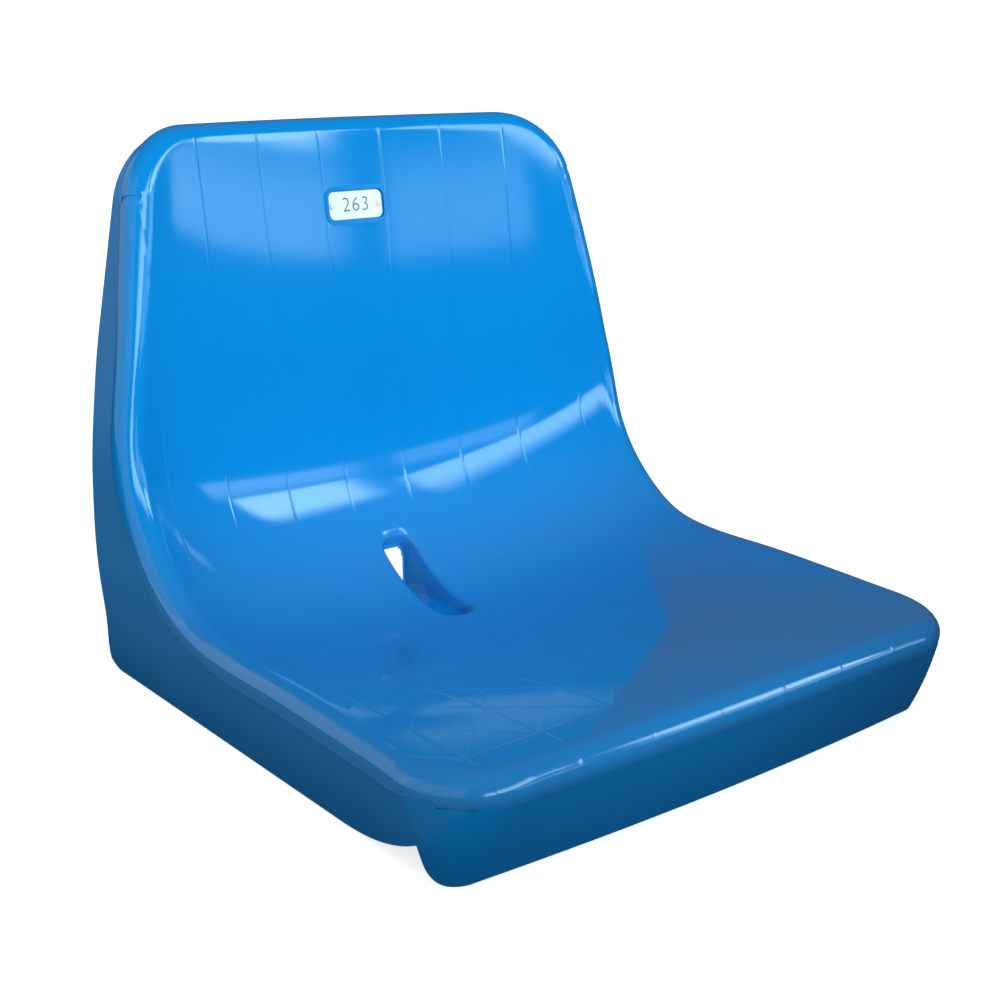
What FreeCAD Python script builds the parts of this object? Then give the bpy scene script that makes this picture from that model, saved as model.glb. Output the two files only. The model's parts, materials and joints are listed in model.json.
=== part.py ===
import FreeCAD, Part
import Sketcher
import math
import os

os.makedirs("parts", exist_ok=True)
doc = FreeCAD.newDocument("StadiumSeat")
V = FreeCAD.Vector

# The seat is one moulded shell. +Z is up, the seat faces -Y, X is its width.
# The origin is the middle of the footprint, on the floor plane. All sizes are in mm.
SIZES = [
    # the whole seat
    ("seat_width", 463.0), ("seat_depth", 454.0), ("seat_height", 400.0),
    # the moulding's wall and its rolled rim
    ("wall_thick", 3.5), ("roll_radius", 13.0), ("hem_depth", 14.0),
    # the face down the middle of the seat
    ("low_setback", 156.0), ("low_height", 43.0), ("bend_radius", 119.0),
    ("lean_radius", 1190.0), ("pan_rise", 35.0), ("rise_length", 290.0),
    # the face along the rim
    ("rim_setback", 198.0), ("rim_height", 82.0), ("rim_bend_radius", 120.0), ("rim_lean_radius", 1357.0),
    ("rim_fall", 9.6), ("face_half_width", 220.0), ("flat_share", 0.71),
    # the outline seen from the front: foot, upright side, sweep, taper and top corner
    ("foot_inset", 20.7), ("foot_turn_height", 104.0), ("side_turn_height", 157.0),
    ("side_sweep_radius", 260.0), ("side_taper", 10.8), ("top_corner_radius", 60.0),
    # the apron under the front edge
    ("front_bow", 9.0), ("apron_setback", 26.0), ("apron_slant", 0.43),
    ("apron_corner_foot", 24.0), ("apron_corner_rise", 0.59),
    # the skirts seen from the side
    ("flange_setback", 23.0), ("waist_setback", 30.0), ("flange_height", 260.0), ("waist_height", 185.0),
    ("heel_height", 50.0), ("foot_radius", 9.0),
    ("notch_setback", 49.0), ("notch_height", 26.0), ("notch_run", 93.0), ("notch_radius", 12.0),
    # ribs under the face
    ("rib_pitch", 55.0), ("rib_thick", 2.4), ("rib_depth", 12.0), ("rib_pairs", 4),
    ("lattice_setback", 39.0), ("lattice_length", 112.0), ("ring_radius", 28.0),
    # bosses and their threaded inserts
    ("boss_radius", 12.0), ("boss_growth", 1.25), ("rear_boss_offset", 90.0), ("rear_boss_setback", 210.0),
    ("front_boss_offset", 130.0), ("front_boss_setback", 307.0),
    ("insert_radius", 7.0), ("insert_length", 18.0), ("insert_taper", 0.4),
    ("thread_radius", 4.0), ("thread_length", 15.0),
    ("insert_flange_radius", 9.0), ("insert_flange_thick", 1.5),
    # drain
    ("drain_width", 26.0), ("drain_wall", 3.0), ("drain_floor", 34.0), ("drain_top", 80.0),
    ("drain_mouth_setback", 157.0), ("drain_exit_setback", 62.0), ("drain_roll", 7.0), ("drain_corner", 8.0),
    # number plate, its recess and pins
    ("plate_height", 335.5), ("plate_width", 48.0), ("plate_tall", 21.0), ("plate_thick", 1.5),
    ("plate_corner", 5.0), ("recess_gap", 1.0), ("frame_border", 3.0), ("frame_proud", 1.4),
    ("recess_depth", 1.8), ("pad_thick", 5.0), ("pin_offset", 21.0),
    ("pin_head_radius", 2.6), ("pin_head_tall", 1.1), ("pin_crown", 0.5),
    ("pin_shank_radius", 1.6), ("pin_length", 7.0), ("pin_gap", 0.1),
]
sheet = doc.addObject("Spreadsheet::Sheet", "Sizes")
for row, (alias, value) in enumerate(SIZES, start=1):
    sheet.set("A%d" % row, alias)
    sheet.set("B%d" % row, repr(value))
    sheet.setAlias("B%d" % row, alias)
doc.recompute()


def size(alias):
    return float(sheet.get(alias))


half_width = size("seat_width") / 2
front = -size("seat_depth") / 2
rear = size("seat_depth") / 2
top = size("seat_height")
wall = size("wall_thick")
MARGIN = 60.0
SKIM = 10.0
OVERLAP = 0.5


# The face of the seat
# Down the middle the pan dips, bends up on one radius and leans back on a much larger one.
def profile(low_y, low_z, rise, rise_length, bend, lean):
    points = []
    start = front - MARGIN
    for i in range(5):
        y = start + (low_y - start) * i / 5
        wave = (1 - math.cos(math.pi * (low_y - y) / rise_length)) / 2
        points.append((y, low_z + rise * wave))
    for i in range(5):
        turn = math.radians(90.0 * i / 5)
        points.append((low_y + bend * math.sin(turn), low_z + bend - bend * math.cos(turn)))
    for i in range(6):
        climb = (top + MARGIN - low_z - bend) * i / 5
        points.append((low_y + bend + climb * climb / (2 * lean), low_z + bend + climb))
    return points


middle_line = profile(
    rear - size("low_setback"), size("low_height"), size("pan_rise"),
    size("rise_length"), size("bend_radius"), size("lean_radius"),
)
rim_line = profile(
    rear - size("rim_setback"), size("rim_height"), -size("rim_fall"),
    size("rise_length"), size("rim_bend_radius"), size("rim_lean_radius"),
)


# Across the seat the face goes from the middle line to the rim line, faster near the rim.
def face_surface():
    flat = size("flat_share")
    grid = []
    for (mid_y, mid_z), (rim_y, rim_z) in zip(middle_line, rim_line):
        line = []
        for i in range(-5, 6):
            x = i * (half_width + 25.0) / 5
            q = (x / size("face_half_width")) ** 2
            blend = flat * q + (1 - flat) * q ** 3
            line.append(V(x, mid_y + (rim_y - mid_y) * blend, mid_z + (rim_z - mid_z) * blend))
        grid.append(line)
    surface = Part.BSplineSurface()
    surface.interpolate(grid)
    return surface


face = face_surface()
first_u, last_u, first_v, last_v = face.bounds()


# The same face moved inward, away from the sitter.
def face_behind(distance):
    rows, columns = 16, 11
    grid = []
    for i in range(rows):
        line = []
        for j in range(columns):
            u = first_u + (last_u - first_u) * i / (rows - 1)
            v = first_v + (last_v - first_v) * j / (columns - 1)
            line.append(face.value(u, v) + face.normal(u, v) * distance)
        grid.append(line)
    surface = Part.BSplineSurface()
    surface.interpolate(grid)
    return surface


# Everything that lies behind the face by more than the distance.
def behind(distance):
    return face_behind(distance).toShape().extrude(V(0, 2 * top, -2 * top))


# Height of the face in the middle of the seat, and its lean there.
def middle_point(height):
    line = face.vIso((first_v + last_v) / 2)
    low, high = first_u, last_u
    for _ in range(50):
        mid = (low + high) / 2
        if line.value(mid).y < rear - size("low_setback") or line.value(mid).z < height:
            low = mid
        else:
            high = mid
    point = line.value(low)
    direction = line.tangent(low)[0]
    return point, math.atan2(direction.y, direction.z)


def loop_face(edges):
    return Part.Face(Part.Wire([edge.toShape() for edge in edges]))


# The outline seen from the front: sides drawn in toward the foot, upright, then swept and tapered
# inward to round top corners.
def front_outline(inset):
    half = half_width - inset
    foot_turn = size("foot_turn_height")
    foot_inset = size("foot_inset")
    foot_arc = (foot_turn ** 2 + foot_inset ** 2) / (2 * foot_inset) - inset
    turn = size("side_turn_height")
    sweep = size("side_sweep_radius") - inset
    taper = math.radians(size("side_taper"))
    corner = size("top_corner_radius") - inset
    peak = top - inset
    swept_x = half - sweep + sweep * math.cos(taper)
    swept_z = turn + sweep * math.sin(taper)
    corner_z = peak - corner
    corner_x = swept_x - (corner_z - swept_z) * math.tan(taper) - corner / math.cos(taper)

    def on_circle(centre_x, centre_z, radius, angle, side):
        x = centre_x + radius * math.cos(angle)
        return V(side * x, front - top, centre_z + radius * math.sin(angle))

    def on_foot(z, side):
        return on_circle(half - foot_arc, foot_turn, foot_arc, math.asin((z - foot_turn) / foot_arc), side)

    def on_side(angle, side):
        return on_circle(half - sweep, turn, sweep, angle, side)

    def on_corner(angle, side):
        return on_circle(corner_x, corner_z, corner, angle, side)

    upper = (taper + math.pi / 2) / 2
    edges = []
    for side in (1, -1):
        edges.append(Part.Arc(on_foot(-SKIM, side), on_foot(foot_turn / 2, side), on_foot(foot_turn, side)))
        edges.append(Part.LineSegment(on_foot(foot_turn, side), on_side(0, side)))
        edges.append(Part.Arc(on_side(0, side), on_side(taper / 2, side), on_side(taper, side)))
        edges.append(Part.LineSegment(on_side(taper, side), on_corner(taper, side)))
        edges.append(Part.Arc(on_corner(taper, side), on_corner(upper, side), on_corner(math.pi / 2, side)))
    edges.append(Part.LineSegment(on_corner(math.pi / 2, 1), on_corner(math.pi / 2, -1)))
    edges.append(Part.LineSegment(on_foot(-SKIM, -1), on_foot(-SKIM, 1)))
    wire = Part.Wire(Part.__sortEdges__([edge.toShape() for edge in edges]))
    return Part.Face(wire).extrude(V(0, 4 * top, 0))


# The apron seen from above: a gently bowed wall, wider than the seat and open to the rear, that
# slants forward as it rises.
def apron_wall(inset):
    wide = half_width + MARGIN
    slant = size("apron_slant")
    base = front + size("apron_setback") + inset * math.hypot(1, slant) + slant * SKIM
    bow = half_width * half_width / (2 * size("front_bow"))
    side_y = base + bow - math.sqrt(bow * bow - wide * wide)
    far = 3 * top

    def at(x, y):
        return V(x, y, -SKIM)

    edges = [Part.Arc(at(wide, side_y), at(0, base), at(-wide, side_y))]
    edges.append(Part.LineSegment(at(-wide, side_y), at(-wide, far)))
    edges.append(Part.LineSegment(at(-wide, far), at(wide, far)))
    edges.append(Part.LineSegment(at(wide, far), at(wide, side_y)))
    return loop_face(edges).extrude(V(0, -slant * 2 * top, 2 * top))


# The seat's outer or inner form: everything behind the face and inside the outline. The upright
# corner between side and apron is tight at the foot and grows toward the rim.
def seat_form(inset):
    knee = size("foot_turn_height")
    outline = front_outline(inset)
    below = Part.makeBox(6 * half_width, 6 * top, knee + MARGIN, V(-3 * half_width, -2 * top, -MARGIN))
    lower = outline.common(apron_wall(inset)).common(below).Solids[0]
    for side in (-1, 1):
        for edge in lower.Edges:
            ends = [vertex.Point for vertex in edge.Vertexes]
            rises = abs(ends[0].z - ends[-1].z) > knee * 0.9
            if rises and side * ends[0].x > 0 and ends[0].y < 0:
                foot = size("apron_corner_foot") - inset - SKIM * size("apron_corner_rise")
                rim = foot + (knee + SKIM) * size("apron_corner_rise")
                if ends[0].z < ends[-1].z:
                    lower = lower.makeFillet(foot, rim, [edge])
                else:
                    lower = lower.makeFillet(rim, foot, [edge])
                break
    above = Part.makeBox(6 * half_width, 6 * top, 2 * top, V(-3 * half_width, 0, knee))
    block = lower.fuse(outline.common(above))
    body = behind(inset).common(block).Solids[0]
    rim_edges = []
    for patch in body.Faces:
        if type(patch.Surface).__name__ == "BSplineSurface" and patch.Area > half_width * half_width:
            rim_edges = patch.Edges
    return body.makeFillet(size("roll_radius") - inset, rim_edges)


# A solid through the whole width from a closed outline in the side view.
def side_prism(edges):
    return loop_face(edges).extrude(V(4 * half_width, 0, 0))


def side_at(y, z):
    return V(-2 * half_width, y, z)


# The skirts seen from the side: a rear edge that runs down behind the back and kicks out to a small
# rounded foot, and a foot line that rises to a notch behind the apron.
def skirt_side():
    foot = size("foot_radius")
    corner = foot * (1 - math.sqrt(0.5))
    heel = size("heel_height")
    flange_y = rear - size("flange_setback")
    waist_y = rear - size("waist_setback")
    notch_y = front + size("notch_setback")
    notch_z = size("notch_height")
    run_y = notch_y + size("notch_run")
    bend = size("notch_radius")
    tuck = bend * (1 - math.sqrt(0.5))
    edges = [Part.LineSegment(side_at(front - top, 0), side_at(front - top, 2 * top))]
    edges.append(Part.LineSegment(side_at(front - top, 2 * top), side_at(flange_y, 2 * top)))
    edges.append(Part.LineSegment(side_at(flange_y, 2 * top), side_at(flange_y, size("flange_height"))))
    back = Part.BSplineCurve()
    back.interpolate(
        [
            side_at(flange_y, size("flange_height")), side_at(waist_y, size("waist_height")),
            side_at((flange_y + waist_y) / 2, (size("waist_height") + heel) / 2),
            side_at(flange_y, heel), side_at(rear, foot),
        ],
        InitialTangent=V(0, 0, -1), FinalTangent=V(0, 0.5, -1),
    )
    edges.append(back)
    edges.append(Part.Arc(side_at(rear, foot), side_at(rear - corner, corner), side_at(rear - foot, 0)))
    edges.append(Part.LineSegment(side_at(rear - foot, 0), side_at(run_y, 0)))
    rise = Part.BezierCurve()
    rise.setPoles([side_at(run_y, 0), side_at((run_y + notch_y) / 2, 0), side_at(notch_y, notch_z)])
    edges.append(rise)
    edges.append(Part.LineSegment(side_at(notch_y, notch_z), side_at(notch_y, bend)))
    edges.append(Part.Arc(
        side_at(notch_y, bend), side_at(notch_y - tuck, tuck), side_at(notch_y - bend, 0)
    ))
    edges.append(Part.LineSegment(side_at(notch_y - bend, 0), side_at(front - top, 0)))
    return side_prism(edges)


# Round the back's top edge the wall ends in a short hem. Below it the skirts run on to their own edge.
outside = seat_form(0)
skirted = outside.common(behind(size("hem_depth") * 0.6)).common(skirt_side())
hem = outside.cut(behind(size("hem_depth")))
outer = hem.fuse(skirted)
shell = outer.cut(seat_form(wall))


def slab(x_low, x_high, y_low, y_high):
    box = Part.makeBox(x_high - x_low, y_high - y_low, 3 * top)
    box.translate(V(x_low, y_low, -MARGIN))
    return box


# Ribs stand off the back of the face: long ones from lip to top edge, a lattice under the front of
# the pan, a ring round each boss and a small frame by the drain.
def rib_plan():
    half = size("rib_thick") / 2
    pitch = size("rib_pitch")
    pieces = []
    for i in range(int(size("rib_pairs"))):
        for side in (-1, 1):
            x = side * (i + 0.5) * pitch
            pieces.append(slab(x - half, x + half, front, rear))
    line_y = front + size("lattice_setback")
    pieces.append(slab(-half_width, half_width, line_y - half, line_y + half))
    reach = size("lattice_length")
    inner = slab(-half_width, half_width, line_y, line_y + reach)
    for i in range(-6, 7):
        for side in (-1, 1):
            bar = Part.makeBox(2 * half, 4 * half_width, 3 * top)
            bar.translate(V(-half, -2 * half_width, -MARGIN))
            bar.rotate(V(0, 0, 0), V(0, 0, 1), 45 * side)
            bar.translate(V((i + 0.5) * pitch, line_y, 0))
            pieces.append(bar.common(inner))
    for x, y in boss_spots():
        ring = Part.makeCylinder(size("ring_radius") + half, 3 * top, V(x, y, -MARGIN))
        pieces.append(ring.cut(Part.makeCylinder(size("ring_radius") - half, 3 * top, V(x, y, -MARGIN))))
    return pieces


def boss_spots():
    rear_y = rear - size("rear_boss_setback")
    front_y = rear - size("front_boss_setback")
    return [
        (-size("front_boss_offset"), front_y), (size("front_boss_offset"), front_y),
        (-size("rear_boss_offset"), rear_y), (size("rear_boss_offset"), rear_y),
    ]


rib_layer = behind(wall - OVERLAP).common(outer).cut(behind(wall + size("rib_depth")))
plan = rib_plan()
ribs = rib_layer.common(plan[0].multiFuse(plan[1:]))

# Four bosses reach down to the floor plane, a little wider at the top.
boss_stock = behind(wall - OVERLAP)
bosses = []
for x, y in boss_spots():
    cone = Part.makeCone(size("boss_radius"), size("boss_radius") * size("boss_growth"), top / 2, V(x, y, 0))
    bosses.append(cone.common(boss_stock))

# The drain is a slot where pan and back meet, with a short chute behind it. The chute has a floor and
# two walls that end on one upright plane, and its rear is open.
drain_half = size("drain_width") / 2
chute_half = drain_half + size("drain_wall")
mouth_y = rear - size("drain_mouth_setback")
floor_z = size("drain_floor")
exit_y = rear - size("drain_exit_setback")
chute = Part.makeBox(
    2 * chute_half, exit_y - mouth_y + size("drain_wall"), size("drain_top") - floor_z + 2 * size("drain_wall"),
    V(-chute_half, mouth_y - size("drain_wall"), floor_z - size("drain_wall")),
).common(behind(wall / 2))
slot = Part.makeBox(2 * drain_half, rear - mouth_y, size("drain_top") - floor_z, V(-drain_half, mouth_y, floor_z))
upper_edges = []
for edge in slot.Edges:
    if abs(edge.tangentAt(edge.FirstParameter).y) > 0.99 and edge.CenterOfMass.z > floor_z + 1:
        upper_edges.append(edge)
slot = slot.makeFillet(size("drain_corner"), upper_edges)
slot = slot.common(Part.makeCylinder(drain_half, top, V(0, mouth_y + drain_half, 0)).fuse(
    slab(-drain_half, drain_half, mouth_y + drain_half, rear)
))
brow, brow_lean = middle_point(size("drain_top") + size("drain_roll"))
inward = V(0, math.cos(brow_lean), -math.sin(brow_lean))
lintel = Part.makeCylinder(
    size("drain_roll"), 2 * chute_half, brow + inward * size("drain_roll") - V(chute_half, 0, 0), V(1, 0, 0)
)

# The number plate sits in a framed recess on the face of the back.
spot, lean = middle_point(size("plate_height"))
into = V(0, math.cos(lean), -math.sin(lean))


def leaning_block(width, height, corner, near, depth):
    block = Part.makeBox(width, depth - near, height, V(-width / 2, near, -height / 2))
    uprights = [edge for edge in block.Edges if abs(edge.tangentAt(edge.FirstParameter).y) > 0.99]
    block = block.makeFillet(corner, uprights)
    block.rotate(V(0, 0, 0), V(1, 0, 0), -math.degrees(lean))
    block.translate(spot)
    return block


gap = size("recess_gap")
border = size("frame_border")
frame = leaning_block(
    size("plate_width") + 2 * (gap + border), size("plate_tall") + 2 * (gap + border),
    size("plate_corner") + gap + border, -size("frame_proud"), size("recess_depth") + size("pad_thick"),
)
recess = leaning_block(
    size("plate_width") + 2 * gap, size("plate_tall") + 2 * gap, size("plate_corner") + gap,
    -size("frame_proud") - wall, size("recess_depth"),
)
moulding = shell.multiFuse([ribs, frame, chute] + bosses).cut(slot).cut(recess).fuse(lintel)
if len(moulding.Solids) != 1:
    raise ValueError("the moulding must be one solid, found %d" % len(moulding.Solids))
free_form = doc.addObject("Part::Feature", "Moulding")
free_form.Shape = moulding.Solids[0]
free_form.Label = "moulding"


# Round cutters for the inserts and the pins, bound to the sheet. They narrow toward the far end.
def round_cutter(name, radius, narrowing, height, where, turn):
    cutter = doc.addObject("Part::Cone", name)
    cutter.setExpression("Radius1", radius)
    cutter.setExpression("Radius2", radius + narrowing)
    cutter.setExpression("Height", height)
    cutter.Placement = FreeCAD.Placement(where, turn)
    return cutter


upright = FreeCAD.Rotation(V(0, 0, 1), 0)
plate_turn = FreeCAD.Rotation(V(1, 0, 0), 90 - math.degrees(lean))
cutters = []
for number, (x, y) in enumerate(boss_spots()):
    cutters.append(round_cutter(
        "InsertHole%d" % number, "Sizes.insert_radius", " - Sizes.insert_taper",
        "Sizes.insert_length - Sizes.insert_flange_thick", V(x, y, size("insert_flange_thick")), upright
    ))
    cutters.append(round_cutter(
        "FlangeSeat%d" % number, "Sizes.insert_flange_radius", " - Sizes.insert_taper",
        "Sizes.insert_flange_thick", V(x, y, 0), upright
    ))
for number, side in enumerate((-1, 1)):
    where = spot + into * (size("recess_depth") + size("pad_thick") + wall) + V(side * size("pin_offset"), 0, 0)
    bore = doc.addObject("Part::Cylinder", "PinHole%d" % number)
    bore.setExpression("Radius", "Sizes.pin_shank_radius + Sizes.pin_gap")
    bore.setExpression("Height", "Sizes.recess_depth + Sizes.pad_thick + 2 * Sizes.wall_thick")
    bore.Placement = FreeCAD.Placement(where, plate_turn)
    cutters.append(bore)
tools = doc.addObject("Part::MultiFuse", "ShellCutters")
tools.Shapes = cutters
seat = doc.addObject("Part::Cut", "SeatShell")
seat.Base = free_form
seat.Tool = tools
seat.Label = "seat_shell"


def origin_plane(body, role):
    for item in body.Origin.OriginFeatures:
        if item.Role == role:
            return item
    raise ValueError("no plane " + role)


def new_sketch(body, name, role):
    sketch = body.newObject("Sketcher::SketchObject", name)
    sketch.AttachmentSupport = (origin_plane(body, role), [""])
    sketch.MapMode = "FlatFace"
    return sketch


# A closed outline through corner points. Each coordinate is a sheet formula, or None for zero.
def draw_outline(sketch, corners):
    points = []
    for across, along in corners:
        points.append(V(sheet_value(across), sheet_value(along), 0))
    count = len(points)
    for i in range(count):
        sketch.addGeometry(Part.LineSegment(points[i], points[(i + 1) % count]), False)
    for i in range(count):
        sketch.addConstraint(Sketcher.Constraint("Coincident", i, 2, (i + 1) % count, 1))
    for i in range(count):
        across, along = corners[i]
        pin_down(sketch, "DistanceX", i, across, points[i].x)
        pin_down(sketch, "DistanceY", i, along, points[i].y)


def pin_down(sketch, kind, corner, formula, value):
    if formula is None:
        axis = -2 if kind == "DistanceX" else -1
        sketch.addConstraint(Sketcher.Constraint("PointOnObject", corner, 1, axis))
        return
    number = sketch.addConstraint(Sketcher.Constraint(kind, -1, 1, corner, 1, value))
    sketch.setExpression("Constraints[%d]" % number, formula)


# The present value of a formula written in the sheet's names.
def sheet_value(formula):
    if formula is None:
        return 0.0
    names = {alias: size(alias) for alias, _ in SIZES}
    total = 0.0
    for term in formula.replace("- ", "-").replace("+ ", "").split():
        sign = -1 if term.startswith("-") else 1
        total += sign * names[term.lstrip("-").replace("Sizes.", "")]
    return total


def turned_body(label, corners, placement):
    body = doc.addObject("PartDesign::Body", label)
    sketch = new_sketch(body, label + "_outline", "XZ_Plane")
    draw_outline(sketch, corners)
    turn = body.newObject("PartDesign::Revolution", label + "_turned")
    turn.Profile = sketch
    turn.ReferenceAxis = (sketch, ["V_Axis"])
    turn.Angle = 360
    sketch.Visibility = False
    body.Tip = turn
    body.Placement = placement
    return body


# Threaded insert: a flange flush with the floor plane, a body that narrows into the boss and a
# blind thread.
INSERT_OUTLINE = [
    ("Sizes.thread_radius", None), ("Sizes.insert_flange_radius", None),
    ("Sizes.insert_flange_radius - Sizes.insert_taper", "Sizes.insert_flange_thick"),
    ("Sizes.insert_radius", "Sizes.insert_flange_thick"),
    ("Sizes.insert_radius - Sizes.insert_taper", "Sizes.insert_length"), (None, "Sizes.insert_length"),
    (None, "Sizes.thread_length"), ("Sizes.thread_radius", "Sizes.thread_length"),
]
pieces = [seat]
names = ["insert_front_left", "insert_front_right", "insert_rear_left", "insert_rear_right"]
for label, (x, y) in zip(names, boss_spots()):
    pieces.append(turned_body(label, INSERT_OUTLINE, FreeCAD.Placement(V(x, y, 0), upright)))

# Push pins: a flat round head on the plate and a shank through the plate and the recess floor.
PIN_OUTLINE = [
    (None, "-Sizes.pin_length"), ("Sizes.pin_shank_radius", "-Sizes.pin_length"),
    ("Sizes.pin_shank_radius", None), ("Sizes.pin_head_radius", None),
    ("Sizes.pin_head_radius", "Sizes.pin_head_tall - Sizes.pin_crown"),
    ("Sizes.pin_head_radius - Sizes.pin_crown", "Sizes.pin_head_tall"), (None, "Sizes.pin_head_tall"),
]
plate_face = spot + into * (size("recess_depth") - size("plate_thick"))
for label, side in (("plate_pin_left", -1), ("plate_pin_right", 1)):
    place = FreeCAD.Placement(plate_face + V(side * size("pin_offset"), 0, 0), plate_turn)
    pin = turned_body(label, PIN_OUTLINE, place)
    pieces.append(pin)

# Number plate: a rounded strip of sheet with a hole for each pin.
plate = doc.addObject("PartDesign::Body", "number_plate")
strip = new_sketch(plate, "plate_outline", "XY_Plane")
half_long = size("plate_width") / 2
half_tall = size("plate_tall") / 2
corner_points = [
    V(-half_long, -half_tall, 0), V(half_long, -half_tall, 0),
    V(half_long, half_tall, 0), V(-half_long, half_tall, 0),
]
for i in range(4):
    strip.addGeometry(Part.LineSegment(corner_points[i], corner_points[(i + 1) % 4]), False)
for i in range(4):
    strip.addConstraint(Sketcher.Constraint("Coincident", i, 2, (i + 1) % 4, 1))
    strip.addConstraint(Sketcher.Constraint("Horizontal" if i % 2 == 0 else "Vertical", i))
strip.addConstraint(Sketcher.Constraint("Symmetric", 0, 1, 2, 1, -1, 1))
for edge_number, formula in ((0, "Sizes.plate_width"), (1, "Sizes.plate_tall")):
    number = strip.addConstraint(Sketcher.Constraint("Distance", edge_number, sheet_value(formula)))
    strip.setExpression("Constraints[%d]" % number, formula)
pressed = plate.newObject("PartDesign::Pad", "plate_pad")
pressed.Profile = strip
pressed.setExpression("Length", "Sizes.plate_thick")
plate.Tip = pressed
doc.recompute()
holes = new_sketch(plate, "plate_holes", "XY_Plane")
for i, side in enumerate((-1, 1)):
    centre = V(side * size("pin_offset"), 0, 0)
    holes.addGeometry(Part.Circle(centre, V(0, 0, 1), size("pin_shank_radius") + size("pin_gap")), False)
    holes.addConstraint(Sketcher.Constraint("PointOnObject", i, 3, -1))
    number = holes.addConstraint(Sketcher.Constraint("DistanceX", -1, 1, i, 3, centre.x))
    holes.setExpression("Constraints[%d]" % number, "%d * Sizes.pin_offset" % side)
    number = holes.addConstraint(Sketcher.Constraint("Radius", i, size("pin_shank_radius")))
    holes.setExpression("Constraints[%d]" % number, "Sizes.pin_shank_radius + Sizes.pin_gap")
drilled = plate.newObject("PartDesign::Pocket", "plate_drilled")
drilled.Profile = holes
drilled.Type = "ThroughAll"
drilled.Midplane = True
plate.Tip = drilled
doc.recompute()
corner_round = plate.newObject("PartDesign::Fillet", "plate_corners")
uprights = []
for number, edge in enumerate(drilled.Shape.Edges, start=1):
    if len(edge.Vertexes) == 2 and abs(edge.tangentAt(edge.FirstParameter).z) > 0.99 and edge.Length > 0.1:
        if abs(edge.Vertexes[0].X) > half_long - 0.01:
            uprights.append("Edge%d" % number)
corner_round.Base = (drilled, uprights)
corner_round.setExpression("Radius", "Sizes.plate_corner")
plate.Tip = corner_round
plate.Placement = FreeCAD.Placement(spot + into * size("recess_depth"), plate_turn)
pieces.append(plate)
doc.recompute()

for item in doc.Objects:
    if "Invalid" in item.State or "Error" in item.State:
        raise ValueError("%s is not valid" % item.Label)
for piece in pieces:
    shape = piece.Shape
    if shape.isNull() or not shape.isValid() or shape.Volume <= 0:
        raise ValueError("%s has no valid shape" % piece.Label)
    shape.exportStep("parts/%s.step" % piece.Label)
    bounds = shape.BoundBox
    print(piece.Label, len(shape.Solids), round(shape.Volume, 1), bounds)
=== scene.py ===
# %% [markdown]
# # A moulded stadium seat
# The seat is one thick plastic moulding: a glossy bucket with a rolled rim, finely textured skirts,
# ribs and bosses underneath, a drain where pan and back meet, and a small number plate held by two
# push pins. The CAD frame gives every size. Here the pieces get the skin that light slides over.

# %% Load the frame
import math
import bpy
import json
import numpy as np
from mathutils import Matrix, Vector
from mathutils.bvhtree import BVHTree

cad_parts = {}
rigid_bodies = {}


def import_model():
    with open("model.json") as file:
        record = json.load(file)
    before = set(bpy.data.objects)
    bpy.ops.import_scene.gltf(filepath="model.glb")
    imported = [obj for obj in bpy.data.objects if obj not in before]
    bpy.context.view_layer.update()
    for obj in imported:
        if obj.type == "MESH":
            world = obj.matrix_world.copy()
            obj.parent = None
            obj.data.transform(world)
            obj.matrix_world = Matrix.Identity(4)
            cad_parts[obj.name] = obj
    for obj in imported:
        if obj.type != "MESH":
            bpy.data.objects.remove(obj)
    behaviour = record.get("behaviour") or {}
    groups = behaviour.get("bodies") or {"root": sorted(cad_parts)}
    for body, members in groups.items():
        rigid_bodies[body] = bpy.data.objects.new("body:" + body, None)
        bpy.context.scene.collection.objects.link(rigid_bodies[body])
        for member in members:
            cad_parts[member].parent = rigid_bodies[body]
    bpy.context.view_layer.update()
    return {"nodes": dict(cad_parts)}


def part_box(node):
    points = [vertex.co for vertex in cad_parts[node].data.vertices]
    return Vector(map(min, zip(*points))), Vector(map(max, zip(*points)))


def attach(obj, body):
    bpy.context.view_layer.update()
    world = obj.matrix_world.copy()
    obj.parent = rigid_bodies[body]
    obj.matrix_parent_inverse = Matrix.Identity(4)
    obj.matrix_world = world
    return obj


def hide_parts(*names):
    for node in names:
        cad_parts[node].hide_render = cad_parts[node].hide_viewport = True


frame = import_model()
print("CAD nodes:", sorted(frame["nodes"]))

# %% [markdown]
# ## The sizes of the face
# A seat like this is drawn from two side views: the line down the middle and the line along the rim.
# Each has a pan, a bend on one radius and a back on a much larger radius. The numbers are those of
# the CAD model, in millimetres, so the skin lies on the solid with no fitting.

# %% Sizes
MM = 0.001
HALF_WIDTH = 231.5
FRONT = -227.0
REAR = 227.0
TOP = 400.0
MARGIN = 60.0
ROLL = 13.0
LIP_SETBACK = 26.0
APRON_SLANT = 0.43
APRON_BOW = 9.0
CORNER_FOOT = 24.0
CORNER_RISE = 0.59
FOOT_INSET = 20.7
FOOT_TURN = 104.0
SIDE_TURN = 157.0
SWEEP = 260.0
TAPER = math.radians(10.8)
TOP_CORNER = 60.0
FLAT_SHARE = 0.71
FACE_HALF = 220.0
PLATE_HEIGHT = 335.5
PLATE_HOLE = (26.6, 12.6)
PLATE_FRAME = (28.6, 15.0)


# %% [markdown]
# ## Two side views
# The line down the middle dips like a bowl, and the line along the rim stays almost level. Both are
# rows of points: a pan that rises in a slow wave, a quarter bend, and a back that leans away a little
# more the higher it gets. Rows of points let one tool draw both lines.

# %% Points of a side view
PAN_WAVE = 290.0
PAN_POINTS, BEND_POINTS, BACK_POINTS = 5, 5, 6


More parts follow.
